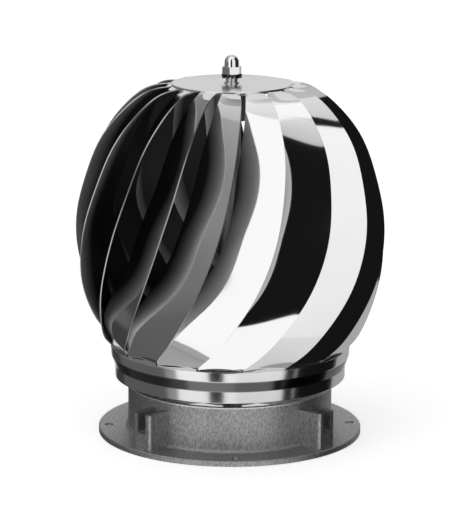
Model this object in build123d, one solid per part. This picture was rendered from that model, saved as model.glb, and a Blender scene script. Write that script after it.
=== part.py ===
from build123d import *
import math
import os

# Roof turbine ventilator.
# Millimetres, +Z up, origin at the centre of the base flange's underside.
# The slotted lugs stand on the X and Y axes, the flange holes on the diagonals.

os.makedirs("parts", exist_ok=True)

# ------------------------------------------------------------------ clearances
HOLE_CLEARANCE = 0.25     # screw shank to its clearance hole, on the radius
SEAT_CLEARANCE = 0.1      # located piece to its recess, on the radius
RUNNING_CLEARANCE = 0.05  # a bearing's turning ring to its still one, on the radius

# ---------------------------------------------------------------- base casting
RING_R = 77.5             # outside of the upright ring
RING_WALL = 3.5
RING_TOP = 38.0
FLANGE_OVERHANG = 22.5    # flange beyond the ring
FLANGE_T = 4.0
FLANGE_BEVEL = 0.6
FOOT_BEVEL = 2.0          # between the flange and the ring
HOLE_COUNT = 4
HOLE_R = 3.5
HOLE_EDGE = 8.0           # hole centre to the flange's rim
LEDGE_BASE = 20.0         # underside of the inner ledge, top of the duct socket
LEDGE_T = 6.0
LEDGE_WIDTH = 9.0
LUG_COUNT = 4
LUG_REACH = 19.5          # lug's outer face beyond the ring
LUG_W = 17.0
LUG_TOP = 31.5
LUG_CORNER = 2.0
SLOT_W = 8.0
SLOT_BOTTOM = 16.3
SLOT_CORNER = 2.0

FLANGE_R = RING_R + FLANGE_OVERHANG
HOLE_PITCH_R = FLANGE_R - HOLE_EDGE
BORE_R = RING_R - RING_WALL
LEDGE_TOP = LEDGE_BASE + LEDGE_T
LEDGE_R = BORE_R - LEDGE_WIDTH

# ------------------------------------------------------------------- M4 screws
M4_R = 2.0
M4_HEAD_R = 3.6
M4_HEAD_H = 2.6

# ---------------------------------------------------------------------- spider
ARM_COUNT = 4
ARM_W = 14.0
ARM_GAP = 1.0             # arm's end to the ring's wall
SPIDER_T = 3.0
SPIDER_SCREW_R = BORE_R - LEDGE_WIDTH / 2
SPIDER_SCREW_DEPTH = 5.0
SPIDER_PLATE_RIM = 2.0    # centre plate beyond the housing's flange

# -------------------------------------------------------------------- bearings
SHAFT_R = 6.0             # spindle's journals and the bearing bores
RACE_OUTER_R = 14.0
RACE_WIDTH = 8.0
INNER_RING_R = 8.6        # outside of the inner ring

# ------------------------------------------------------------- bearing housing
HOUSING_WALL = 4.0
HOUSING_FLANGE_T = 4.0
HOUSING_SHOULDER = 2.0    # step that each outer race bears on
HOUSING_H = 66.0
HOUSING_SCREW_COUNT = 4
HOUSING_HEAD_GAP = 1.0    # screw heads to the housing's wall
HOUSING_SCREW_EDGE = 4.4  # screw centre to the flange's rim
LOWER_RACE_RISE = 1.0     # lower bearing above the housing's foot
UPPER_RACE_SINK = 3.0     # upper bearing below the housing's mouth

SPIDER_TOP = LEDGE_TOP + SPIDER_T
HOUSING_R = RACE_OUTER_R + HOUSING_WALL
HOUSING_SCREW_R = HOUSING_R + HOUSING_HEAD_GAP + M4_HEAD_R
HOUSING_FLANGE_R = HOUSING_SCREW_R + HOUSING_SCREW_EDGE
SPIDER_PLATE_R = HOUSING_FLANGE_R + SPIDER_PLATE_RIM
HOUSING_TOP = SPIDER_TOP + HOUSING_H
LOWER_RACE_Z = SPIDER_TOP + LOWER_RACE_RISE
UPPER_RACE_TOP = HOUSING_TOP - UPPER_RACE_SINK
UPPER_RACE_Z = UPPER_RACE_TOP - RACE_WIDTH

# ---------------------------------------------------------------- rotor collar
COLLAR_GAP = 6.0          # ring's top to the collar's lower edge
SKIRT_OVERHANG = 10.0     # skirt beyond the ring
SKIRT_H = 8.8
FLARE = 3.0               # how far the collar opens out above the skirt
FLARE_H = 8.2
BAND_DRAFT = 0.4
BAND_H = 7.4
COLLAR_T = 1.2
COLLAR_LIP = 5.0          # inward lip that carries the blades
COLLAR_ROLL = 0.8

SKIRT_R = RING_R + SKIRT_OVERHANG
SKIRT_BOTTOM = RING_TOP + COLLAR_GAP
FLARE_BOTTOM = SKIRT_BOTTOM + SKIRT_H
BAND_BOTTOM = FLARE_BOTTOM + FLARE_H
COLLAR_TOP = BAND_BOTTOM + BAND_H
BAND_R = SKIRT_R + FLARE
COLLAR_TOP_R = BAND_R + BAND_DRAFT

# -------------------------------------------------------- blades and cap disc
BLADE_COUNT = 17
BLADE_T = 0.8
CROWN_R = 116.5           # largest radius of the blades' leading edges
CROWN_H = 197.4           # collar's top to the disc's underside
DISC_R = 45.0
DISC_T = 1.2
TAB_LENGTH = 11.0
TAB_OUT = 1.5             # flat tab starts this far outside the disc's rim
ROTOR_PHASE = 42.0        # blade_05's zero line, counter-clockwise from -Y

# Each edge of a blade: (share of crown height, swell, angle). A swell of 0 lies on
# the straight line from the foot to the tab, and a swell of 1 at the crown radius.
# The feet stand on the collar and the tabs under the disc, so those two ends
# take their radius from the collar and the disc.
FOOT_ANGLES = (-37.4, -57.7)
TAB_ANGLES = (7.4, -8.6)
LEADING_EDGE = [
    (0.036, 0.278, -33.0),
    (0.085, 0.509, -27.4),
    (0.227, 0.864, -16.6),
    (0.370, 0.995, -9.4),
    (0.513, 0.979, -4.5),
    (0.656, 0.861, -0.9),
    (0.799, 0.700, 2.0),
    (0.910, 0.472, 4.2),
    (0.984, 0.218, 6.4),
]
TRAILING_EDGE = [
    (0.061, 0.261, -54.0),
    (0.144, 0.500, -48.2),
    (0.296, 0.492, -36.5),
    (0.414, 0.533, -27.7),
    (0.530, 0.545, -22.4),
    (0.644, 0.426, -19.6),
    (0.772, 0.339, -16.8),
    (0.880, 0.256, -13.6),
    (0.958, 0.125, -10.8),
]

DISC_BOTTOM = COLLAR_TOP + CROWN_H
DISC_TOP = DISC_BOTTOM + DISC_T

# ------------------------------------------------------------------- rotor hub
HUB_R = 13.0
HUB_H = 26.0
HUB_FLANGE_T = 3.5
HUB_FLANGE_GAP = 2.5      # flange's rim to the blades' tabs
HUB_NECK_R = 5.6          # neck through the disc
HUB_NECK_RISE = 0.8
HUB_SET_HEIGHT = 9.0      # set screws above the hub's foot
SET_SCREW_R = 2.5
SET_SCREW_SINK = 0.6

HUB_FLANGE_R = DISC_R + TAB_OUT - TAB_LENGTH - HUB_FLANGE_GAP
HUB_FOOT = DISC_BOTTOM - HUB_H

# --------------------------------------------------------------------- spindle
SPINDLE_R = 7.0
NECK_R = 4.4              # plain stretch that shows above the disc
THREAD_R = 4.0
NECK_START = 5.8          # spindle's shoulder below the disc's underside
NECK_RISE = 5.0           # stretch above the disc, up to the tooth washer
THREAD_L = 11.0
LOWER_THREAD_R = 5.0
LOWER_THREAD_L = 9.4

SHOULDER_Z = DISC_BOTTOM - NECK_START
WASHER_SEAT = DISC_TOP + NECK_RISE

# ---------------------------------------------------- tooth washer and dome nut
TOOTH_RING_R = 5.7
TOOTH_RING_T = 0.9
TOOTH_BORE_CLEARANCE = 0.15
TOOTH_TIP_R = 7.5
TOOTH_COUNT = 10
TOOTH_T = 0.7
TOOTH_W = 3.3
TOOTH_TWIST = 62.0

NUT_FLATS = 13.0
NUT_H = 5.5
NUT_DOME_R = 5.5
NUT_DOME_H = 8.6
NUT_BORE_DEPTH = 9.6
NUT_CHAMFER_ANGLE = 30.0

TOOTH_HALF_H = (TOOTH_W * math.sin(math.radians(TOOTH_TWIST))
                + TOOTH_T * math.cos(math.radians(TOOTH_TWIST))) / 2
TOOTH_MID_Z = WASHER_SEAT + TOOTH_RING_T / 2
NUT_Z = TOOTH_MID_Z + TOOTH_HALF_H

# ------------------------------------------------------------ lower spindle nut
LOWER_NUT_FLATS = 16.0
LOWER_NUT_H = 8.0
SPACER_WALL = 2.0


def tube(outer_r, inner_r, bottom, height):
    """Round tube standing on the height `bottom`."""
    profile = Pos(0, 0, bottom) * (Circle(outer_r) - Circle(inner_r))
    return extrude(profile, amount=height)


def rod(radius, bottom, height):
    """Round bar standing on the height `bottom`."""
    return Pos(0, 0, bottom) * Cylinder(radius, height, align=(Align.CENTER, Align.CENTER, Align.MIN))


def turned(points):
    """Solid of revolution from (radius, height) points."""
    outline = Polyline([(r, 0, z) for r, z in points], close=True)
    return revolve(make_face(outline), Axis.Z)


def polar(radius, angle, height):
    """Point at an angle counter-clockwise from +X."""
    turn = math.radians(angle)
    return Vector(radius * math.cos(turn), radius * math.sin(turn), height)


def around(count, radius, first=0.0):
    """Equally spaced places on a circle, each turned to face outwards."""
    step = 360.0 / count
    return [Rot(0, 0, first + i * step) * Pos(radius, 0, 0) for i in range(count)]


def hexagon(flats, bottom, height):
    """Hexagonal bar with two corners on the X axis."""
    outline = RegularPolygon(flats / 2, 6, major_radius=False)
    return extrude(Pos(0, 0, bottom) * outline, amount=height)


def cap_screw(seat, length):
    """M4 screw with its head's underside at the height `seat`."""
    return rod(M4_HEAD_R, seat, M4_HEAD_H) + rod(M4_R, seat - length, length)


def chamfered_hexagon(flats, bottom, height, both_ends=True):
    """Hexagon of a nut with its corners turned off at an angle."""
    corner_r = flats / 2 / math.cos(math.radians(30))
    drop = (corner_r - flats / 2) * math.tan(math.radians(NUT_CHAMFER_ANGLE))
    low = drop if both_ends else 0.0
    envelope = turned([
        (0, bottom),
        (flats / 2 if both_ends else corner_r, bottom),
        (corner_r, bottom + low),
        (corner_r, bottom + height - drop),
        (flats / 2, bottom + height),
        (0, bottom + height),
    ])
    return hexagon(flats, bottom, height) & envelope


# ---------------------------------------------------------------- base casting
def make_base_casting():
    body = turned([
        (BORE_R, 0),
        (FLANGE_R, 0),
        (FLANGE_R, FLANGE_T - FLANGE_BEVEL),
        (FLANGE_R - FLANGE_BEVEL, FLANGE_T),
        (RING_R + FOOT_BEVEL, FLANGE_T),
        (RING_R, FLANGE_T + FOOT_BEVEL),
        (RING_R, RING_TOP),
        (BORE_R, RING_TOP),
        (BORE_R, LEDGE_TOP),
        (LEDGE_R, LEDGE_TOP),
        (LEDGE_R, LEDGE_BASE),
        (BORE_R, LEDGE_BASE),
    ])
    lug_start = RING_R - RING_WALL / 2
    lug_length = RING_R + LUG_REACH - lug_start
    lug = Pos(lug_start, 0, FLANGE_T / 2) * Box(
        lug_length, LUG_W, LUG_TOP - FLANGE_T / 2,
        align=(Align.MIN, Align.CENTER, Align.MIN),
    )
    outer_corners = lug.edges().filter_by(Axis.Z).group_by(Axis.X)[-1]
    lug = fillet(outer_corners, LUG_CORNER)
    slot = Pos(RING_R, 0, SLOT_BOTTOM) * Box(
        2 * LUG_REACH, SLOT_W, LUG_TOP,
        align=(Align.MIN, Align.CENTER, Align.MIN),
    )
    slot_corners = slot.edges().filter_by(Axis.X).group_by(Axis.Z)[0]
    slot = fillet(slot_corners, SLOT_CORNER)
    for place in range(LUG_COUNT):
        turn = Rot(0, 0, place * 360 / LUG_COUNT)
        body += turn * lug
        body -= turn * slot

    for place in around(HOLE_COUNT, HOLE_PITCH_R, first=45):
        body -= place * Cylinder(HOLE_R, 3 * FLANGE_T)
    for place in around(ARM_COUNT, SPIDER_SCREW_R, first=45):
        body -= place * Pos(0, 0, LEDGE_TOP) * Cylinder(M4_R, 4 * LEDGE_T)
    return body


# ---------------------------------------------------------------------- spider
def make_spider():
    plate = Circle(SPIDER_PLATE_R)
    for place in range(ARM_COUNT):
        arm = Rectangle(BORE_R - ARM_GAP, ARM_W, align=(Align.MIN, Align.CENTER))
        plate += Rot(0, 0, 45 + place * 360 / ARM_COUNT) * arm
    plate -= Circle(RACE_OUTER_R + SEAT_CLEARANCE)
    for place in around(ARM_COUNT, SPIDER_SCREW_R, first=45):
        plate -= place * Circle(M4_R + HOLE_CLEARANCE)
    for place in around(HOUSING_SCREW_COUNT, HOUSING_SCREW_R):
        plate -= place * Circle(M4_R)
    return extrude(Pos(0, 0, LEDGE_TOP) * plate, amount=SPIDER_T)


def make_spider_screws():
    screw = cap_screw(SPIDER_TOP, SPIDER_T + SPIDER_SCREW_DEPTH)
    return Compound([place * screw for place in around(ARM_COUNT, SPIDER_SCREW_R, first=45)])


# ------------------------------------------------------------- bearing housing
def make_bearing_housing():
    foot = SPIDER_TOP
    lower_shoulder = LOWER_RACE_Z + RACE_WIDTH
    bore_r = RACE_OUTER_R - HOUSING_SHOULDER
    body = turned([
        (RACE_OUTER_R, foot),
        (HOUSING_FLANGE_R, foot),
        (HOUSING_FLANGE_R, foot + HOUSING_FLANGE_T),
        (HOUSING_R, foot + HOUSING_FLANGE_T),
        (HOUSING_R, HOUSING_TOP),
        (RACE_OUTER_R, HOUSING_TOP),
        (RACE_OUTER_R, UPPER_RACE_Z),
        (bore_r, UPPER_RACE_Z),
        (bore_r, lower_shoulder),
        (RACE_OUTER_R, lower_shoulder),
    ])
    for place in around(HOUSING_SCREW_COUNT, HOUSING_SCREW_R):
        body -= place * Pos(0, 0, foot) * Cylinder(M4_R + HOLE_CLEARANCE, 3 * HOUSING_FLANGE_T)
    return body


def make_housing_screws():
    screw = cap_screw(SPIDER_TOP + HOUSING_FLANGE_T, HOUSING_FLANGE_T + SPIDER_T)
    return Compound([place * screw for place in around(HOUSING_SCREW_COUNT, HOUSING_SCREW_R)])


# -------------------------------------------------------------------- bearings
# Each bearing is shielded on both faces, so its balls never show: the outer
# ring and its shields are one closed piece that runs on the inner ring.
def make_outer_race(bottom):
    return tube(RACE_OUTER_R, INNER_RING_R + RUNNING_CLEARANCE, bottom, RACE_WIDTH)


def make_inner_race(bottom):
    return tube(INNER_RING_R, SHAFT_R, bottom, RACE_WIDTH)


def make_bearing_spacer():
    bottom = LOWER_RACE_Z + RACE_WIDTH
    return tube(SHAFT_R + SPACER_WALL, SHAFT_R, bottom, UPPER_RACE_Z - bottom)


# --------------------------------------------------------------------- spindle
def make_spindle():
    foot = LOWER_RACE_Z - LOWER_THREAD_L
    tip = WASHER_SEAT + THREAD_L
    return turned([
        (0, foot),
        (LOWER_THREAD_R, foot),
        (LOWER_THREAD_R, LOWER_RACE_Z),
        (SHAFT_R, LOWER_RACE_Z),
        (SHAFT_R, UPPER_RACE_TOP),
        (SPINDLE_R, UPPER_RACE_TOP),
        (SPINDLE_R, SHOULDER_Z),
        (NECK_R, SHOULDER_Z),
        (NECK_R, WASHER_SEAT),
        (THREAD_R, WASHER_SEAT),
        (THREAD_R, tip),
        (0, tip),
    ])


def make_spindle_nut():
    bottom = LOWER_RACE_Z - LOWER_NUT_H
    body = chamfered_hexagon(LOWER_NUT_FLATS, bottom, LOWER_NUT_H)
    return body - rod(LOWER_THREAD_R, bottom - 1, LOWER_NUT_H + 2)


# ------------------------------------------------------------------- rotor hub
def make_rotor_hub():
    flange_bottom = DISC_BOTTOM - HUB_FLANGE_T
    neck_top = DISC_TOP + HUB_NECK_RISE
    body = turned([
        (SPINDLE_R, HUB_FOOT),
        (HUB_R, HUB_FOOT),
        (HUB_R, flange_bottom),
        (HUB_FLANGE_R, flange_bottom),
        (HUB_FLANGE_R, DISC_BOTTOM),
        (HUB_NECK_R, DISC_BOTTOM),
        (HUB_NECK_R, neck_top),
        (NECK_R + SEAT_CLEARANCE, neck_top),
        (NECK_R + SEAT_CLEARANCE, SHOULDER_Z),
        (SPINDLE_R, SHOULDER_Z),
    ])
    for place in around(2, 0, first=45):
        body -= place * Pos(0, 0, HUB_FOOT + HUB_SET_HEIGHT) * Cylinder(
            SET_SCREW_R, 2 * HUB_R, rotation=(0, 90, 0),
            align=(Align.CENTER, Align.CENTER, Align.MIN),
        )
    return body


def make_hub_set_screws():
    screw = Rot(0, 90, 0) * rod(SET_SCREW_R, 0, HUB_R - SPINDLE_R - SET_SCREW_SINK)
    height = HUB_FOOT + HUB_SET_HEIGHT
    return Compound([
        place * Pos(SPINDLE_R, 0, height) * screw for place in around(2, 0, first=45)
    ])


# ----------------------------------------------------- cap disc, washer and nut
def make_top_disc():
    return tube(DISC_R, HUB_NECK_R + SEAT_CLEARANCE, DISC_BOTTOM, DISC_T)


def make_tooth_washer():
    ring_z = TOOTH_MID_Z - TOOTH_RING_T / 2
    bore_r = THREAD_R + TOOTH_BORE_CLEARANCE
    washer = tube(TOOTH_RING_R, bore_r, ring_z, TOOTH_RING_T)
    tooth_start = TOOTH_RING_R - TOOTH_T
    tooth = Rot(TOOTH_TWIST, 0, 0) * Box(
        TOOTH_TIP_R - tooth_start, TOOTH_W, TOOTH_T,
        align=(Align.MIN, Align.CENTER, Align.CENTER),
    )
    for place in around(TOOTH_COUNT, tooth_start):
        washer += place * Pos(0, 0, TOOTH_MID_Z) * tooth
    return washer


def make_dome_nut():
    hexagon_top = NUT_Z + NUT_H
    body = chamfered_hexagon(NUT_FLATS, NUT_Z, NUT_H)
    straight = NUT_DOME_H - NUT_DOME_R
    dome_centre = hexagon_top + straight
    body += rod(NUT_DOME_R, hexagon_top, straight)
    body += Pos(0, 0, dome_centre) * Sphere(NUT_DOME_R)
    return body - rod(THREAD_R, NUT_Z - 1, NUT_BORE_DEPTH + 1)


# ---------------------------------------------------------------- rotor collar
def make_rotor_collar():
    lip_r = COLLAR_TOP_R - COLLAR_LIP
    body = turned([
        (SKIRT_R, SKIRT_BOTTOM),
        (SKIRT_R, FLARE_BOTTOM),
        (BAND_R, BAND_BOTTOM),
        (COLLAR_TOP_R, COLLAR_TOP - COLLAR_ROLL),
        (COLLAR_TOP_R - COLLAR_ROLL, COLLAR_TOP),
        (lip_r, COLLAR_TOP),
        (lip_r, COLLAR_TOP - COLLAR_T),
        (COLLAR_TOP_R - COLLAR_T, COLLAR_TOP - COLLAR_T),
        (BAND_R - COLLAR_T, BAND_BOTTOM),
        (SKIRT_R - COLLAR_T, FLARE_BOTTOM),
        (SKIRT_R - COLLAR_T, SKIRT_BOTTOM),
    ])
    return body


# ---------------------------------------------------------------------- blades
def blade_stations():
    """Pairs of points on the leading and trailing edges, foot to tab."""
    foot_r = COLLAR_TOP_R - COLLAR_ROLL - BLADE_T
    middle = BLADE_T / 2
    tab_r = DISC_R + TAB_OUT

    def edge_point(height, swell, angle):
        straight_r = foot_r + (tab_r - foot_r) * height
        radius = straight_r + swell * (CROWN_R - straight_r)
        return polar(radius, angle, COLLAR_TOP + height * CROWN_H)

    foot = [polar(foot_r, angle, COLLAR_TOP) for angle in FOOT_ANGLES]
    tab = [polar(tab_r, angle, DISC_BOTTOM - middle) for angle in TAB_ANGLES]
    stations = [foot]
    for lead, trail in zip(LEADING_EDGE, TRAILING_EDGE):
        stations.append([edge_point(*lead), edge_point(*trail)])
    stations.append(tab)
    return stations


def blade_sections(stations):
    """Closed outlines of the sheet across each station."""
    sections = []
    last = len(stations) - 1
    for i, (lead, trail) in enumerate(stations):
        chord = trail - lead
        if i == 0:
            side = Vector(-chord.Y, chord.X, 0)
        elif i == last:
            side = Vector(0, 0, 1)
        else:
            before = stations[i - 1][0] + stations[i - 1][1]
            after = stations[i + 1][0] + stations[i + 1][1]
            side = chord.cross(after - before)
        half = side.normalized() * (BLADE_T / 2)
        if half.dot(lead + trail) < 0:
            half = half * -1
        sections.append(Wire.make_polygon([lead + half, trail + half, trail - half, lead - half]))
    return sections


def make_blade():
    stations = blade_stations()
    sections = blade_sections(stations)
    sheet = Solid.make_loft(sections)
    lead, trail = stations[-1]
    inward = (lead + trail) * -0.5
    inward = Vector(inward.X, inward.Y, 0).normalized() * TAB_LENGTH
    tab = Solid.extrude(Face(sections[-1]), inward)
    return sheet + tab


PARTS = {
    "base_casting": make_base_casting(),
    "spider": make_spider(),
    "spider_screws": make_spider_screws(),
    "bearing_housing": make_bearing_housing(),
    "housing_screws": make_housing_screws(),
    "bearing_spacer": make_bearing_spacer(),
    "spindle": make_spindle(),
    "spindle_nut": make_spindle_nut(),
    "rotor_hub": make_rotor_hub(),
    "hub_set_screws": make_hub_set_screws(),
    "top_disc": make_top_disc(),
    "tooth_washer": make_tooth_washer(),
    "dome_nut": make_dome_nut(),
    "rotor_collar": make_rotor_collar(),
}
for level, race_z in (("lower", LOWER_RACE_Z), ("upper", UPPER_RACE_Z)):
    PARTS[level + "_outer_race"] = make_outer_race(race_z)
    PARTS[level + "_inner_race"] = make_inner_race(race_z)

# Angles in the blade tables run counter-clockwise from -Y at the rotor's phase.
BLADE = make_blade()
BLADE_STEP = 360.0 / BLADE_COUNT
for number in range(BLADE_COUNT):
    turn = ROTOR_PHASE - 90.0 + (number - 4) * BLADE_STEP
    PARTS[f"blade_{number + 1:02d}"] = Rot(0, 0, turn) * BLADE

for node, shape in PARTS.items():
    export_step(shape, f"parts/{node}.step")
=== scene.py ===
import math

import bpy
import numpy as np
from bpy.props import FloatProperty, IntProperty, PointerProperty
from mathutils import Matrix, Vector


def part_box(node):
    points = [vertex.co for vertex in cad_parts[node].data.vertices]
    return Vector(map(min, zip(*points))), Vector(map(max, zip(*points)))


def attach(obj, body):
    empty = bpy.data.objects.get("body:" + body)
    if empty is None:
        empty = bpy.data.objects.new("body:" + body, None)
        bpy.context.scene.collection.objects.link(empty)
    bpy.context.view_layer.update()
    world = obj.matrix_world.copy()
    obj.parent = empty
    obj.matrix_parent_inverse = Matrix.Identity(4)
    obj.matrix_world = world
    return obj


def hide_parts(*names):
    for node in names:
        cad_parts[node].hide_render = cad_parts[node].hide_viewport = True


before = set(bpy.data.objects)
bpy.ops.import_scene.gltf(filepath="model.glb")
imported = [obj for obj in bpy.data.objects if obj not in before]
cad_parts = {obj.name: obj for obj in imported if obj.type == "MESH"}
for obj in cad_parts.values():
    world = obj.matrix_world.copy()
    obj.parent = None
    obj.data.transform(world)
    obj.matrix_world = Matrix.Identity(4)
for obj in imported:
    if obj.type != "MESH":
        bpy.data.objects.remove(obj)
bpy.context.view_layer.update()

bl_info = {
    "name": "Roof Turbine Ventilator",
    "version": (1, 0, 0),
    "blender": (4, 5, 0),
    "location": "View3D > Sidebar > Ventilator",
    "description": "Polished rotor, cast base and studio of a roof turbine ventilator",
    "category": "Object",
}

# Edges of one blade, foot to tab, in its own turned frame: (share of the crown's
# height, swell, angle in degrees). A swell of 0 lies on the straight line from the
# foot to the tab, and a swell of 1 at the crown's radius.
LEADING_EDGE = [
    (0.036, 0.278, -33.0),
    (0.085, 0.509, -27.4),
    (0.227, 0.864, -16.6),
    (0.370, 0.995, -9.4),
    (0.513, 0.979, -4.5),
    (0.656, 0.861, -0.9),
    (0.799, 0.700, 2.0),
    (0.910, 0.472, 4.2),
    (0.984, 0.218, 6.4),
]
TRAILING_EDGE = [
    (0.061, 0.261, -54.0),
    (0.144, 0.500, -48.2),
    (0.296, 0.492, -36.5),
    (0.414, 0.533, -27.7),
    (0.530, 0.545, -22.4),
    (0.644, 0.426, -19.6),
    (0.772, 0.339, -16.8),
    (0.880, 0.256, -13.6),
    (0.958, 0.125, -10.8),
]
# Angles of the leading and the trailing corner, at the foot and at the tab.
FOOT_ANGLES = (-37.4, -57.7)
TAB_ANGLES = (7.4, -8.6)
SIDES = ("outer", "inner", "edge")  # of a blade's sheet, by number

# Collar, in metres: insets from its outer edge, and heights above its foot.
COLLAR_SHEET = 0.0012
COLLAR_SKIRT_INSET = 0.0034
COLLAR_BAND_INSET = 0.0004
COLLAR_LIP = 0.005
COLLAR_SKIRT_TOP = 0.0088
COLLAR_BAND_FOOT = 0.0170
COLLAR_FOOT_ROUND = 0.0005
COLLAR_BEND_ROUND = 0.0012

DISC_BORE = 0.0057
DISC_LOWER_ROUND = 0.0003
DISC_UPPER_ROUND = 0.0005

NUT_BEVEL = math.radians(30)
NUT_BEVEL_LAND = 0.0002  # height of the flats left above and below the bevels' cones
NUT_SEGMENTS = 144
NUT_ROWS = 23
DOME_ROWS = 13

# Ends, in metres or as a share, over which a finish or a painted shade changes.
MACHINED_EDGE = (0.0368, 0.0372)  # height on the base ring
# painted shade: the collar's cone, under its band, is darkened between these heights
CONE_SHADE_FOOT = (0.0523, 0.0532)  # height on the collar
CONE_SHADE_TOP = (0.0602, 0.0612)
CAST_GRAIN = (0.34, 0.66)  # noise of the cast face
# painted shade: share of a blade's width over which its inner face darkens, from its leading edge
# into the rotor
INNER_SHADE_FALL = (0.0, 0.45)  # share of a blade's width, from its leading edge

FLOOR_HALF = 4.0
FLOOR_DROP = 0.0003  # keeps the floor clear of the base's underside
TENT_HEIGHT = 0.15  # of its centre
PANEL_STEP = 3  # degrees between a panel's divisions


class BladeSettings(bpy.types.PropertyGroup):
    """The ring of twisted blades."""

    count: IntProperty(name="Blades", default=17, min=3, description="Blades round the rotor")
    phase: FloatProperty(
        name="Phase", default=math.radians(-132.7058824), subtype="ANGLE",
        description="Turn of the first blade's zero line",
    )
    crown_radius: FloatProperty(
        name="Crown Radius", default=0.1165, unit="LENGTH",
        description="Largest radius of the leading edges",
    )
    thickness: FloatProperty(
        name="Sheet", default=0.0008, unit="LENGTH", description="Thickness of the sheet"
    )
    tab_length: FloatProperty(
        name="Tab", default=0.011, unit="LENGTH", description="Flat tab under the cap disc"
    )
    foot_radius: FloatProperty(
        name="Foot Radius", default=0.0893, unit="LENGTH",
        description="Radius of the foot's corners on the collar",
    )
    tab_radius: FloatProperty(
        name="Tab Radius", default=0.0465, unit="LENGTH",
        description="Radius of the corners where the tab starts",
    )
    camber: FloatProperty(
        name="Camber", default=0.0004, unit="LENGTH",
        description="Outward bow of the sheet across its width",
    )
    rows: IntProperty(name="Rows", default=150, min=8, description="Divisions along a blade")
    columns: IntProperty(name="Columns", default=12, min=2, description="Divisions across a blade")


class TurnedSettings(bpy.types.PropertyGroup):
    """Collar, cap disc and nut."""

    segments: IntProperty(name="Segments", default=240, min=24, description="Divisions of a turn")
    collar_roll: FloatProperty(
        name="Collar Roll", default=0.0009, unit="LENGTH",
        description="Radius of the collar's upper edge",
    )
    nut_flats: FloatProperty(
        name="Nut Flats", default=0.013, unit="LENGTH", description="Width across the nut's flats"
    )
    nut_height: FloatProperty(
        name="Nut Height", default=0.0055, unit="LENGTH", description="Height of the hexagon"
    )
    dome_radius: FloatProperty(
        name="Dome Radius", default=0.0055, unit="LENGTH", description="Radius of the nut's dome"
    )


def tone(name, default, description):
    """Property for the grey of a metal."""
    return FloatProperty(
        name=name, default=default, min=0.0, max=1.0, subtype="FACTOR", description=description
    )


class FinishSettings(bpy.types.PropertyGroup):
    """Greys of the metals, each named for its finish; the far inner face and the collar's cone
    hold painted shade.
    """

    polished_sheet: tone("Polished Sheet", 0.86, "Outer faces of the blades")
    inner_near: tone("Inner Face, Near", 0.95, "Inner faces of the blades at the leading edge")
    # painted shade: grey that the inner faces darken to, deeper inside the rotor
    inner_shade_far: tone("Inner Face, Far", 0.05, "Inner faces of the blades inside the rotor")
    sheet_edge: tone("Sheet Edge", 0.5, "Cut edges of the blades")
    collar_skirt: tone("Collar Skirt", 0.70, "Collar under its cone")
    # painted shade: grey of the collar's cone, darker where it lies under the band
    collar_cone_shade: tone("Collar Cone", 0.14, "Cone between the collar's skirt and band")
    collar_band: tone("Collar Band", 0.76, "Collar above its cone")
    disc_face: tone("Cap Disc", 0.80, "Cap disc")
    cast_dark: tone("Casting, Dark", 0.30, "Hollows of the cast face")
    cast_bright: tone("Casting, Bright", 0.54, "Grains of the cast face")
    machined_gain: tone("Machined Gain", 0.45, "What the machined edge adds to the cast grey")
    turned_aluminium: tone("Turned Aluminium", 0.66, "Hub and bearing housing")
    plated_steel: tone("Plated Steel", 0.58, "Spider, spindle and spacer")
    fastener_steel: tone("Fasteners", 0.86, "Domed nut and screws")
    blackened_steel: tone("Tooth Washer", 0.08, "Tooth washer")
    bearing_steel: tone("Bearings", 0.6, "Rings of the bearings")


class StudioSettings(bpy.types.PropertyGroup):
    """Camera, floor and the bright and dark panels."""

    bearing: FloatProperty(
        name="Bearing", default=math.radians(42.0), subtype="ANGLE",
        description="Camera's direction from the part, counter-clockwise from -Y",
    )
    distance: FloatProperty(
        name="Distance", default=1.87887, unit="LENGTH",
        description="Camera's horizontal distance from the part's axis",
    )
    height: FloatProperty(
        name="Height", default=0.5505, unit="LENGTH", description="Camera above the floor"
    )
    pitch: FloatProperty(
        name="Pitch", default=math.radians(12.443), subtype="ANGLE",
        description="Camera's downward tilt",
    )
    roll: FloatProperty(
        name="Roll", default=math.radians(0.355), subtype="ANGLE",
        description="Camera's turn about its view",
    )
    lens: FloatProperty(
        name="Lens", default=179.95, unit="CAMERA", description="Focal length, 36 mm sensor"
    )
    shift: FloatProperty(name="Shift", default=0.0124, description="Sideways shift of the view")
    tent_radius: FloatProperty(
        name="Tent Radius", default=3.0, unit="LENGTH",
        description="Distance of the panels from the part",
    )
    floor_tone: tone("Floor", 0.9, "Grey of the floor")
    floor_glow: tone("Floor Glow", 0.55, "What the camera sees on top of the floor's grey")
    fill: tone("Fill", 0.25, "Even light from all round")


# ---------------------------------------------------------------- mesh helpers
def polar(radius, degrees, height):
    """Point at an angle counter-clockwise from +X."""
    turn = math.radians(degrees)
    return Vector((radius * math.cos(turn), radius * math.sin(turn), height))


def spline(points, count):
    """Evenly spaced points on the natural cubic curve through the given ones."""
    knots = np.array([tuple(p) for p in points], float)
    steps = np.sqrt(np.linalg.norm(np.diff(knots, axis=0), axis=1))
    t = np.concatenate([[0.0], np.cumsum(steps)])
    size = len(t)
    system = np.eye(size)
    right = np.zeros((size, knots.shape[1]))
    for i in range(1, size - 1):
        before, after = t[i] - t[i - 1], t[i + 1] - t[i]
        system[i, i - 1:i + 2] = before, 2 * (before + after), after
        slopes = (knots[i + 1] - knots[i]) / after - (knots[i] - knots[i - 1]) / before
        right[i] = 6 * slopes
    bend = np.linalg.solve(system, right)
    at = np.linspace(0.0, t[-1], count)
    i = np.clip(np.searchsorted(t, at, side="right") - 1, 0, size - 2)
    width = (t[i + 1] - t[i])[:, None]
    low = (t[i + 1] - at)[:, None] / width
    high = 1.0 - low
    curve = low * knots[i] + high * knots[i + 1]
    curve += ((low**3 - low) * bend[i] + (high**3 - high) * bend[i + 1]) * width**2 / 6
    return curve


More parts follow.
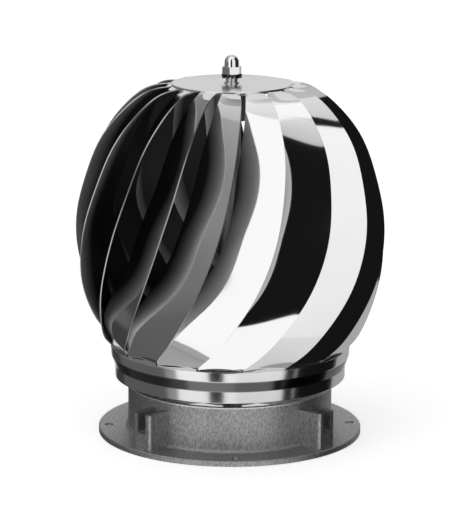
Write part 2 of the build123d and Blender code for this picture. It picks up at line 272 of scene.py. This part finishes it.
def new_piece(name, vertices, faces, materials=(), face_materials=None, sharp=30.0):
    """Mesh object at the origin, smooth but for edges sharper than the angle."""
    mesh = bpy.data.meshes.new(name)
    mesh.from_pydata([tuple(v) for v in vertices], [], faces)
    for material in materials:
        mesh.materials.append(material)
    if face_materials is not None:
        mesh.polygons.foreach_set("material_index", face_materials)
    mesh.shade_smooth()
    mesh.set_sharp_from_angle(angle=math.radians(sharp))
    mesh.update()
    piece = bpy.data.objects.new(name, mesh)
    bpy.context.collection.objects.link(piece)
    return piece


def lathe(name, outline, segments, material):
    """Turned piece from a closed loop of (radius, height) points, metal on its left."""
    vertices, faces = [], []
    rows = len(outline)
    for j in range(segments):
        turn = 2 * math.pi * j / segments
        for radius, height in outline:
            vertices.append((radius * math.cos(turn), radius * math.sin(turn), height))
    for j in range(segments):
        here, there = j * rows, (j + 1) % segments * rows
        for i in range(rows):
            k = (i + 1) % rows
            faces.append((here + i, there + i, there + k, here + k))
    return new_piece(name, vertices, faces, [material])


def rounded(outline, radii, steps=6):
    """Outline with some corners replaced by arcs."""
    out = []
    for i, corner in enumerate(outline):
        radius = radii.get(i, 0.0)
        corner = Vector(corner)
        if not radius:
            out.append(tuple(corner))
            continue
        before = (Vector(outline[i - 1]) - corner).normalized()
        after = (Vector(outline[(i + 1) % len(outline)]) - corner).normalized()
        half = before.angle(after) / 2
        start = corner + before * (radius / math.tan(half))
        end = corner + after * (radius / math.tan(half))
        centre = corner + (before + after).normalized() * (radius / math.sin(half))
        first, last = start - centre, end - centre
        sweep = first.angle(last)
        for k in range(steps + 1):
            share = k / steps
            arm = first * math.sin((1 - share) * sweep) + last * math.sin(share * sweep)
            out.append(tuple(centre + arm / math.sin(sweep)))
    return out


# ------------------------------------------------------------------- materials
def new_material(name):
    """Material, its node tree and its shader."""
    material = bpy.data.materials.new(name)
    material.use_nodes = True
    tree = material.node_tree
    return material, tree, tree.nodes["Principled BSDF"]


def new_metal(name, roughness):
    """Material with a bare metal's shader."""
    material, tree, shader = new_material(name)
    shader.inputs["Metallic"].default_value = 1.0
    shader.inputs["Roughness"].default_value = roughness
    return material, tree, shader


def bump(tree, shader, scale, distance, strength, stretch=(1, 1, 1), detail=3.0):
    """Object-space noise on the shader's normal; returns the noise's output."""
    place = tree.nodes.new("ShaderNodeTexCoord")
    mapping = tree.nodes.new("ShaderNodeMapping")
    mapping.inputs["Scale"].default_value = stretch
    noise = tree.nodes.new("ShaderNodeTexNoise")
    noise.inputs["Scale"].default_value = scale
    noise.inputs["Detail"].default_value = detail
    node = tree.nodes.new("ShaderNodeBump")
    node.inputs["Distance"].default_value = distance
    node.inputs["Strength"].default_value = strength
    tree.links.new(place.outputs["Object"], mapping.inputs["Vector"])
    tree.links.new(mapping.outputs["Vector"], noise.inputs["Vector"])
    tree.links.new(noise.outputs["Fac"], node.inputs["Height"])
    tree.links.new(node.outputs["Normal"], shader.inputs["Normal"])
    return noise.outputs["Fac"]


def ramp(tree, value, ends, results):
    """The value's range carried over to another, held at both ends."""
    shade = tree.nodes.new("ShaderNodeMapRange")
    shade.inputs["From Min"].default_value, shade.inputs["From Max"].default_value = ends
    shade.inputs["To Min"].default_value, shade.inputs["To Max"].default_value = results
    tree.links.new(value, shade.inputs["Value"])
    return shade.outputs["Result"]


def add(tree, first, second):
    """Sum of two values."""
    total = tree.nodes.new("ShaderNodeMath")
    tree.links.new(first, total.inputs[0])
    tree.links.new(second, total.inputs[1])
    return total.outputs["Value"]


def height_of(tree):
    """Height above the part's origin."""
    place = tree.nodes.new("ShaderNodeTexCoord")
    axes = tree.nodes.new("ShaderNodeSeparateXYZ")
    tree.links.new(place.outputs["Object"], axes.inputs["Vector"])
    return axes.outputs["Z"]


def plain_metal(name, grey, roughness, **surface):
    """Bare metal of one faintly blue grey, with fine unevenness."""
    material, tree, shader = new_metal(name, roughness)
    shader.inputs["Base Color"].default_value = (grey, grey, grey * 1.005, 1)
    bump(tree, shader, **surface)
    return material


def cast_metal(name, tones):
    """Sand-cast aluminium: grainy and uneven, bright where the upper edge is machined."""
    material, tree, shader = new_metal(name, roughness=0.5)
    grain = bump(
        tree, shader, scale=900.0, distance=0.0003, strength=0.7,
        stretch=(1, 1, 0.45), detail=5.0,
    )
    shade = ramp(tree, grain, CAST_GRAIN, (tones.cast_dark, tones.cast_bright))
    edge = ramp(tree, height_of(tree), MACHINED_EDGE, (0.0, tones.machined_gain))
    tree.links.new(add(tree, shade, edge), shader.inputs["Base Color"])
    return material


def shaded_inner_sheet(name, tones):
    """Inner face of a blade: dull, with painted shade that darkens it away from its leading edge,
    deeper inside the rotor.
    """
    material, tree, shader = new_metal(name, roughness=0.42)
    across = tree.nodes.new("ShaderNodeAttribute")
    across.attribute_name = "across"
    shade = ramp(tree, across.outputs["Fac"], INNER_SHADE_FALL, (tones.inner_near, tones.inner_shade_far))
    tree.links.new(shade, shader.inputs["Base Color"])
    return material


def collar_metal(name, tones):
    """Polished collar, with painted shade that darkens the cone under its band."""
    material, tree, shader = new_metal(name, roughness=0.15)
    bump(tree, shader, scale=14.0, distance=0.0003, strength=0.35, stretch=(1, 1, 0.4))
    height = height_of(tree)
    skirt = ramp(tree, height, CONE_SHADE_FOOT, (tones.collar_skirt, tones.collar_cone_shade))
    band = ramp(tree, height, CONE_SHADE_TOP, (0.0, tones.collar_band - tones.collar_cone_shade))
    tree.links.new(add(tree, skirt, band), shader.inputs["Base Color"])
    return material


# The blades' inner faces and the collar's cone carry painted shade.
PATTERNED = {
    "sheet_inside": shaded_inner_sheet,
    "polished_collar": collar_metal,
    "cast_aluminium": cast_metal,
}
PLAIN = {
    "polished_sheet": dict(roughness=0.07, scale=9.0, distance=0.0006, strength=0.35),
    "sheet_edge": dict(roughness=0.3, scale=300.0, distance=0.00003, strength=0.3),
    "disc_face": dict(roughness=0.22, scale=30.0, distance=0.0002, strength=0.4),
    "turned_aluminium": dict(
        roughness=0.3, scale=300.0, distance=0.0001, strength=0.5, stretch=(0.05, 0.05, 1)
    ),
    "plated_steel": dict(
        roughness=0.3, scale=200.0, distance=0.0001, strength=0.5, stretch=(1, 1, 0.2)
    ),
    "fastener_steel": dict(roughness=0.09, scale=200.0, distance=0.00003, strength=0.3),
    "blackened_steel": dict(roughness=0.4, scale=200.0, distance=0.00003, strength=0.4),
    "bearing_steel": dict(roughness=0.2, scale=200.0, distance=0.00003, strength=0.4),
}


def finish(name):
    """The finish of that name, made once; the prefix keeps it off the frame's own."""
    full_name = "look_" + name
    material = bpy.data.materials.get(full_name)
    if material:
        return material
    tones = bpy.context.scene.ventilator_finishes
    if name in PATTERNED:
        return PATTERNED[name](full_name, tones)
    return plain_metal(full_name, getattr(tones, name), **PLAIN[name])


def emission(name):
    """Light whose strength comes from the mesh's level attribute."""
    if name in bpy.data.materials:
        return bpy.data.materials[name]
    material = bpy.data.materials.new(name)
    material.use_nodes = True
    tree = material.node_tree
    tree.nodes.clear()
    glow = tree.nodes.new("ShaderNodeEmission")
    level = tree.nodes.new("ShaderNodeAttribute")
    level.attribute_name = "level"
    output = tree.nodes.new("ShaderNodeOutputMaterial")
    tree.links.new(level.outputs["Fac"], glow.inputs["Strength"])
    tree.links.new(glow.outputs["Emission"], output.inputs["Surface"])
    return material


# ---------------------------------------------------------------------- blades
def blade_edges(settings):
    """Leading and trailing edge of the sheet's middle, from the foot to the tab's inner end."""
    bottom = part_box("rotor_collar")[1].z
    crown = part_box("top_disc")[0].z - bottom
    tab_height = bottom + crown - settings.thickness / 2
    edges = []
    for stations, foot, tab in zip((LEADING_EDGE, TRAILING_EDGE), FOOT_ANGLES, TAB_ANGLES):
        points = [polar(settings.foot_radius, foot, bottom)]
        for height, swell, angle in stations:
            straight = settings.foot_radius * (1 - height) + settings.tab_radius * height
            radius = straight + swell * (settings.crown_radius - straight)
            points.append(polar(radius, angle, bottom + height * crown))
        points.append(polar(settings.tab_radius, tab, tab_height))
        edges.append(spline(points, settings.rows))
    lead, trail = edges
    inward = -(lead[-1] + trail[-1])
    inward[2] = 0.0
    inward *= settings.tab_length / np.linalg.norm(inward)
    return np.vstack([lead, lead[-1] + inward]), np.vstack([trail, trail[-1] + inward])


def sheet_normals(lead, trail):
    """Outward normals along a blade: level at the foot, upright on the tab."""
    run = np.gradient(lead + trail, axis=0)
    normals = np.cross(trail - lead, run)
    normals[0, 2] = 0.0
    normals[-2:] = (0, 0, 1)
    outward = np.sum(normals * (lead + trail), axis=1)
    outward[-2:] = 1.0
    return normals * (np.sign(outward) / np.linalg.norm(normals, axis=1))[:, None]


def sheet_faces(rows, columns):
    """Faces of a sheet with an outer, an inner and an edge side, and each face's side."""
    outer, inner, edge = range(len(SIDES))
    shell = rows * columns
    faces, sides = [], []
    for i in range(rows - 1):
        for j in range(columns - 1):
            a = i * columns + j
            b, c, d = a + 1, a + columns + 1, a + columns
            faces.append((a, d, c, b))
            sides.append(outer)
            faces.append((shell + a, shell + b, shell + c, shell + d))
            sides.append(inner)
        for j, flip in ((0, False), (columns - 1, True)):
            a, d = i * columns + j, (i + 1) * columns + j
            strip = (a, shell + a, shell + d, d)
            faces.append(strip[::-1] if flip else strip)
            sides.append(edge)
    for i, flip in ((0, True), (rows - 1, False)):
        for j in range(columns - 1):
            a = i * columns + j
            strip = (a, shell + a, shell + a + 1, a + 1)
            faces.append(strip if flip else strip[::-1])
            sides.append(edge)
    return faces, sides


def one_blade(settings):
    """Vertices, faces, and each face's side as its number in SIDES."""
    lead, trail = blade_edges(settings)
    normals = sheet_normals(lead, trail)[:, None, :]
    share = np.linspace(0.0, 1.0, settings.columns + 1)[None, :, None]
    sheet = lead[:, None, :] * (1 - share) + trail[:, None, :] * share
    bow = 4 * settings.camber * share * (1 - share)
    fade = np.sin(np.linspace(0.0, math.pi, len(lead)))[:, None, None]
    sheet = sheet + normals * bow * fade
    outer = sheet + normals * (settings.thickness / 2)
    inner = sheet - normals * (settings.thickness / 2)
    vertices = np.concatenate([outer.reshape(-1, 3), inner.reshape(-1, 3)])
    return vertices, *sheet_faces(*outer.shape[:2])


def blade_ring_group(finishes):
    """Node group that sets copies of a blade round the axis and paints its sides in turn."""
    group = bpy.data.node_groups.new("blade_ring", "GeometryNodeTree")
    sockets = group.interface
    sockets.new_socket("Blade", in_out="INPUT", socket_type="NodeSocketGeometry")
    count = sockets.new_socket("Count", in_out="INPUT", socket_type="NodeSocketInt")
    phase = sockets.new_socket("Phase", in_out="INPUT", socket_type="NodeSocketFloat")
    sockets.new_socket("Ring", in_out="OUTPUT", socket_type="NodeSocketGeometry")
    nodes, link = group.nodes, group.links.new
    inputs = nodes.new("NodeGroupInput")
    output = nodes.new("NodeGroupOutput")
    points = nodes.new("GeometryNodePoints")
    index = nodes.new("GeometryNodeInputIndex")
    step = nodes.new("ShaderNodeMath")
    step.operation = "DIVIDE"
    step.inputs[0].default_value = 2 * math.pi
    turn = nodes.new("ShaderNodeMath")
    turn.operation = "MULTIPLY_ADD"
    spin = nodes.new("ShaderNodeCombineXYZ")
    ring = nodes.new("GeometryNodeInstanceOnPoints")
    real = nodes.new("GeometryNodeRealizeInstances")
    side = nodes.new("GeometryNodeInputNamedAttribute")
    side.data_type = "INT"
    side.inputs["Name"].default_value = "side"
    link(inputs.outputs["Count"], points.inputs["Count"])
    link(inputs.outputs["Count"], step.inputs[1])
    link(index.outputs["Index"], turn.inputs[0])
    link(step.outputs["Value"], turn.inputs[1])
    link(inputs.outputs["Phase"], turn.inputs[2])
    link(turn.outputs["Value"], spin.inputs["Z"])
    link(points.outputs["Points"], ring.inputs["Points"])
    link(inputs.outputs["Blade"], ring.inputs["Instance"])
    link(spin.outputs["Vector"], ring.inputs["Rotation"])
    link(ring.outputs["Instances"], real.inputs["Geometry"])
    painted = real.outputs["Geometry"]
    for number, material in enumerate(finishes):
        match = nodes.new("FunctionNodeCompare")
        match.data_type = "INT"
        match.operation = "EQUAL"
        first, second = (socket for socket in match.inputs if socket.enabled)
        link(side.outputs["Attribute"], first)
        second.default_value = number
        paint = nodes.new("GeometryNodeSetMaterial")
        paint.inputs["Material"].default_value = material
        link(painted, paint.inputs["Geometry"])
        link(match.outputs["Result"], paint.inputs["Selection"])
        painted = paint.outputs["Geometry"]
    link(painted, output.inputs["Ring"])
    return group, count.identifier, phase.identifier


def applied(piece):
    """The piece with its modifiers turned into plain mesh."""
    bpy.context.view_layer.update()
    graph = bpy.context.evaluated_depsgraph_get()
    mesh = bpy.data.meshes.new_from_object(piece.evaluated_get(graph))
    piece.modifiers.clear()
    piece.data = mesh
    return piece


class VENTILATOR_OT_blades(bpy.types.Operator):
    """Make the ring of twisted blades"""

    bl_idname = "ventilator.blades"
    bl_label = "Blades"

    def execute(self, context):
        settings = context.scene.ventilator_blades
        vertices, faces, sides = one_blade(settings)
        piece = new_piece("blade_ring", vertices, faces)
        side = piece.data.attributes.new("side", "INT", "FACE")
        side.data.foreach_set("value", sides)
        across = piece.data.attributes.new("across", "FLOAT", "POINT")
        shares = np.linspace(0.0, 1.0, settings.columns + 1)
        across.data.foreach_set("value", np.resize(shares, len(vertices)))
        group, count, phase = blade_ring_group(
            [finish("polished_sheet"), finish("sheet_inside"), finish("sheet_edge")]
        )
        modifier = piece.modifiers.new("ring", "NODES")
        modifier.node_group = group
        modifier[count] = settings.count
        modifier[phase] = settings.phase
        applied(piece)
        if len(piece.data.polygons) != settings.count * len(faces):
            raise RuntimeError("the blade ring came out with the wrong number of faces")
        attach(piece, "rotor")
        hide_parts(*[f"blade_{i + 1:02d}" for i in range(settings.count)])
        return {"FINISHED"}


# ---------------------------------------------------------------- turned parts
class VENTILATOR_OT_collar(bpy.types.Operator):
    """Make the spun collar at the foot of the blades"""

    bl_idname = "ventilator.collar"
    bl_label = "Collar"

    def execute(self, context):
        settings = context.scene.ventilator_turned
        low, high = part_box("rotor_collar")
        foot, top, outer = low.z, high.z, high.x
        skirt, band = outer - COLLAR_SKIRT_INSET, outer - COLLAR_BAND_INSET
        skirt_top, band_foot = foot + COLLAR_SKIRT_TOP, foot + COLLAR_BAND_FOOT
        outline = [
            (skirt - COLLAR_SHEET, foot),
            (skirt, foot),
            (skirt, skirt_top),
            (band, band_foot),
            (outer, top),
            (outer - COLLAR_LIP, top),
            (outer - COLLAR_LIP, top - COLLAR_SHEET),
            (outer - COLLAR_SHEET, top - COLLAR_SHEET),
            (band - COLLAR_SHEET, band_foot),
            (skirt - COLLAR_SHEET, skirt_top),
        ]
        radii = {
            0: COLLAR_FOOT_ROUND,
            1: COLLAR_FOOT_ROUND,
            2: COLLAR_BEND_ROUND,
            3: COLLAR_BEND_ROUND,
            4: settings.collar_roll,
        }
        piece = lathe(
            "collar_ring", rounded(outline, radii), settings.segments, finish("polished_collar")
        )
        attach(piece, "rotor")
        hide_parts("rotor_collar")
        return {"FINISHED"}


class VENTILATOR_OT_cap(bpy.types.Operator):
    """Make the cap disc and the domed nut"""

    bl_idname = "ventilator.cap"
    bl_label = "Cap"

    def execute(self, context):
        settings = context.scene.ventilator_turned
        low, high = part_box("top_disc")
        rim = high.x
        outline = [(DISC_BORE, low.z), (rim, low.z), (rim, high.z), (DISC_BORE, high.z)]
        radii = {1: DISC_LOWER_ROUND, 2: DISC_UPPER_ROUND}
        disc = lathe(
            "cap_disc", rounded(outline, radii), settings.segments, finish("disc_face")
        )
        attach(disc, "rotor")
        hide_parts("top_disc")

        nut = self.dome_nut(settings, finish("fastener_steel"))
        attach(nut, "rotor")
        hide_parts("dome_nut")
        return {"FINISHED"}

    @staticmethod
    def dome_nut(settings, material):
        """Hexagon bevelled at both ends, with a short neck and a dome on it."""
        low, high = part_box("dome_nut")
        flat = settings.nut_flats / 2
        corner = flat / math.cos(math.radians(30))
        shoulder = low.z + settings.nut_height
        slope = math.tan(NUT_BEVEL)
        straight = high.z - settings.dome_radius
        rows = [(height, None) for height in np.linspace(low.z, shoulder, NUT_ROWS)]
        rows += [(shoulder, settings.dome_radius), (straight, settings.dome_radius)]
        for k in range(1, DOME_ROWS):
            turn = math.pi / 2 * k / DOME_ROWS
            rows.append((
                straight + settings.dome_radius * math.sin(turn),
                settings.dome_radius * math.cos(turn),
            ))
        vertices, faces = [], []
        for height, radius in rows:
            bevelled = min(
                flat + (height - low.z + NUT_BEVEL_LAND) / slope,
                flat + (shoulder - height + NUT_BEVEL_LAND) / slope,
                corner,
            )
            for j in range(NUT_SEGMENTS):
                turn = 2 * math.pi * j / NUT_SEGMENTS
                from_flat = (turn % (math.pi / 3)) - math.pi / 6
                reach = radius or min(flat / math.cos(from_flat), bevelled)
                vertices.append((reach * math.cos(turn), reach * math.sin(turn), height))
        for i in range(len(rows) - 1):
            below, above = i * NUT_SEGMENTS, (i + 1) * NUT_SEGMENTS
            for j in range(NUT_SEGMENTS):
                k = (j + 1) % NUT_SEGMENTS
                faces.append((below + j, below + k, above + k, above + j))
        last = (len(rows) - 1) * NUT_SEGMENTS
        faces.append(tuple(range(NUT_SEGMENTS))[::-1])
        faces.append(tuple(last + j for j in range(NUT_SEGMENTS)))
        return new_piece("cap_nut", vertices, faces, [material], sharp=28.0)


# ------------------------------------------------------------------- CAD nodes
class VENTILATOR_OT_finishes(bpy.types.Operator):
    """Paint the nodes that show as they are"""

    bl_idname = "ventilator.finishes"
    bl_label = "Finishes"

    def execute(self, context):
        painted = {
            "base_casting": "cast_aluminium",
            "spider": "plated_steel",
            "bearing_housing": "turned_aluminium",
            "bearing_spacer": "plated_steel",
            "spindle": "plated_steel",
            "rotor_hub": "turned_aluminium",
            "tooth_washer": "blackened_steel",
            "spindle_nut": "fastener_steel",
            "hub_set_screws": "fastener_steel",
            "spider_screws": "fastener_steel",
            "housing_screws": "fastener_steel",
        }
        for node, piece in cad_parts.items():
            if piece.hide_render:
                continue
            for slot in piece.material_slots:
                slot.material = finish(painted.get(node, "bearing_steel"))
        return {"FINISHED"}


# ---------------------------------------------------------------------- studio
# Bright and dark panels of the tent: (name, left and right edge, lower and upper
# edge in degrees, level at the lower and at the upper edge). Angles run to the
# camera's right from its own direction; the lower and upper edges are heights
# above the horizon.
PANELS = [
    ("left_low", -130, -64, -47, -10, 0.11, 0.13),
    ("left_low_step", -64, -52, -47, -10, 0.42, 0.30),
    ("left_middle", -130, -64, -10, 45, 0.13, 0.40),
    ("left_step", -64, -52, -10, 8, 0.13, 0.20),
    ("left_high", -130, -64, 45, 90, 0.55, 1.10),
    ("left_white_step", -64, -52, 8, 90, 1.10, 1.10),
    ("left_white", -52, -20, -30, 90, 1.10, 1.10),
    ("front_dark", -20, 6, -8, 46, 0.008, 0.008),
    ("front_dark_low", -20, -6, -27, -8, 0.008, 0.008),
    ("front_white_low", -6, 6, -27, -8, 1.08, 1.08),
    ("front_high", -20, 6, 46, 66, 0.60, 0.80),
    ("front_seam", -20, 6, 66, 68, 0.45, 0.45),
    ("front_top", -20, 6, 68, 90, 1.10, 1.10),
    ("right_white", 6, 53, -27, 50, 0.90, 1.06),
    ("right_gap", 6, 53, 50, 54, 0.03, 0.03),
    ("right_top", 6, 53, 54, 90, 1.05, 1.10),
    ("right_dark", 53, 64, -60, 54, 0.008, 0.008),
    ("right_line", 64, 66, -60, 54, 0.50, 0.50),
    ("right_dark_far", 66, 122, -60, 54, 0.008, 0.008),
    ("right_high", 53, 122, 54, 90, 0.70, 1.00),
    ("right_grey", 122, 165, -60, 90, 0.38, 0.60),
    ("back", 165, 200, -60, 90, 0.66, 0.80),
    ("far_left_low", 200, 230, -60, 0, 0.04, 0.06),
    ("far_left_middle", 200, 230, 0, 45, 0.06, 0.30),
    ("far_left_high", 200, 230, 45, 90, 0.30, 1.00),
    ("floor_left", -130, -52, -60, -47, 0.42, 0.34),
    ("floor_left_low", -130, -80, -90, -60, 0.42, 0.42),
    ("floor_front_left", -80, -52, -90, -60, 1.00, 0.90),
    ("floor_front_white", -52, -20, -90, -30, 1.08, 1.08),
    ("floor_front", -20, 6, -90, -27, 1.08, 1.08),
    ("floor_right", 6, 53, -90, -27, 0.62, 0.80),
    ("floor_right_far", 53, 122, -90, -60, 0.40, 0.30),
    ("floor_back", 122, 230, -90, -60, 0.40, 0.36),
]


class VENTILATOR_OT_stage(bpy.types.Operator):
    """Set the camera, the floor and the light"""

    bl_idname = "ventilator.stage"
    bl_label = "Stage"

    def execute(self, context):
        settings = context.scene.ventilator_studio
        self.camera(context, settings)
        self.floor(settings)
        self.world(context, settings)
        for panel in PANELS:
            self.panel(settings, *panel)
        return {"FINISHED"}

    @staticmethod
    def camera(context, settings):
        """Camera placed and turned by its bearing, pitch and roll."""
        turn, pitch, roll = settings.bearing, settings.pitch, settings.roll
        out = Vector((math.sin(turn), -math.cos(turn), 0))
        right = Vector((math.cos(turn), math.sin(turn), 0))
        forward = -out * math.cos(pitch) - Vector((0, 0, math.sin(pitch)))
        up = right.cross(forward)
        across = right * math.cos(roll) + up * math.sin(roll)
        upward = up * math.cos(roll) - right * math.sin(roll)
        place = out * settings.distance + Vector((0, 0, settings.height))
        data = bpy.data.cameras.new("camera")
        data.lens = settings.lens
        data.sensor_width = 36.0
        data.shift_x = settings.shift
        camera = bpy.data.objects.new("camera", data)
        camera.matrix_world = Matrix.Translation(place) @ Matrix(
            (across, upward, -forward)
        ).transposed().to_4x4()
        context.collection.objects.link(camera)
        context.scene.camera = camera

    @staticmethod
    def floor(settings):
        """Pale floor; polished metal shows the tent's floor panels in its place."""
        corners = [
            (x * FLOOR_HALF, y * FLOOR_HALF, -FLOOR_DROP)
            for x, y in ((-1, -1), (1, -1), (1, 1), (-1, 1))
        ]
        material, tree, shader = new_material("floor")
        shader.inputs["Base Color"].default_value = (*[settings.floor_tone] * 3, 1)
        shader.inputs["Roughness"].default_value = 0.9
        shader.inputs["Emission Color"].default_value = (1, 1, 1, 1)
        path = tree.nodes.new("ShaderNodeLightPath")
        glow = ramp(tree, path.outputs["Is Camera Ray"], (0.0, 1.0), (0.0, settings.floor_glow))
        tree.links.new(glow, shader.inputs["Emission Strength"])
        piece = new_piece("floor", corners, [(0, 1, 2, 3)], [material])
        piece.visible_glossy = False

    @staticmethod
    def world(context, settings):
        """White behind the part, and an even fill on it."""
        world = bpy.data.worlds.new("studio")
        world.use_nodes = True
        tree = world.node_tree
        back = tree.nodes["Background"]
        path = tree.nodes.new("ShaderNodeLightPath")
        level = ramp(tree, path.outputs["Is Camera Ray"], (0.0, 1.0), (settings.fill, 1.0))
        tree.links.new(level, back.inputs["Strength"])
        back.inputs["Color"].default_value = (1, 1, 1, 1)
        context.scene.world = world
        context.scene.view_settings.view_transform = "Standard"

    @staticmethod
    def panel(settings, name, left, right, low, high, low_level, high_level):
        """One glowing patch of the tent, unseen by the camera itself."""
        columns = max(2, int((right - left) / PANEL_STEP))
        rows = max(2, int((high - low) / PANEL_STEP))
        bearing = math.degrees(settings.bearing)
        centre = Vector((0, 0, TENT_HEIGHT))
        vertices, faces, levels = [], [], []
        for i in range(rows + 1):
            lift = math.radians(low + (high - low) * i / rows)
            levels += [low_level + (high_level - low_level) * i / rows] * (columns + 1)
            for j in range(columns + 1):
                turn = math.radians(bearing + left + (right - left) * j / columns)
                vertices.append(centre + settings.tent_radius * Vector((
                    math.sin(turn) * math.cos(lift),
                    -math.cos(turn) * math.cos(lift),
                    math.sin(lift),
                )))
        for i in range(rows):
            for j in range(columns):
                a = i * (columns + 1) + j
                faces.append((a, a + columns + 1, a + columns + 2, a + 1))
        piece = new_piece("panel_" + name, vertices, faces, [emission("tent_light")])
        glow = piece.data.attributes.new("level", "FLOAT", "POINT")
        glow.data.foreach_set("value", levels)
        piece.visible_camera = False
        piece.visible_shadow = False


class VENTILATOR_PT_panel(bpy.types.Panel):
    """Ventilator tools in the sidebar."""

    bl_idname = "VENTILATOR_PT_panel"
    bl_label = "Ventilator"
    bl_space_type = "VIEW_3D"
    bl_region_type = "UI"
    bl_category = "Ventilator"

    def draw(self, context):
        for operator in OPERATORS:
            self.layout.operator(operator.bl_idname)
        for name, group in GROUPS.items():
            box = self.layout.box()
            for key in group.__annotations__:
                box.prop(getattr(context.scene, name), key)


OPERATORS = (
    VENTILATOR_OT_blades,
    VENTILATOR_OT_collar,
    VENTILATOR_OT_cap,
    VENTILATOR_OT_finishes,
    VENTILATOR_OT_stage,
)
GROUPS = {
    "ventilator_blades": BladeSettings,
    "ventilator_turned": TurnedSettings,
    "ventilator_finishes": FinishSettings,
    "ventilator_studio": StudioSettings,
}
CLASSES = (*GROUPS.values(), *OPERATORS, VENTILATOR_PT_panel)


def register():
    for cls in CLASSES:
        bpy.utils.register_class(cls)
    for name, group in GROUPS.items():
        setattr(bpy.types.Scene, name, PointerProperty(type=group))


def unregister():
    for name in reversed(GROUPS):
        delattr(bpy.types.Scene, name)
    for cls in reversed(CLASSES):
        bpy.utils.unregister_class(cls)


def main():
    register()
    bpy.ops.ventilator.blades()
    bpy.ops.ventilator.collar()
    bpy.ops.ventilator.cap()
    bpy.ops.ventilator.finishes()
    bpy.ops.ventilator.stage()


if __name__ == "__main__":
    main()
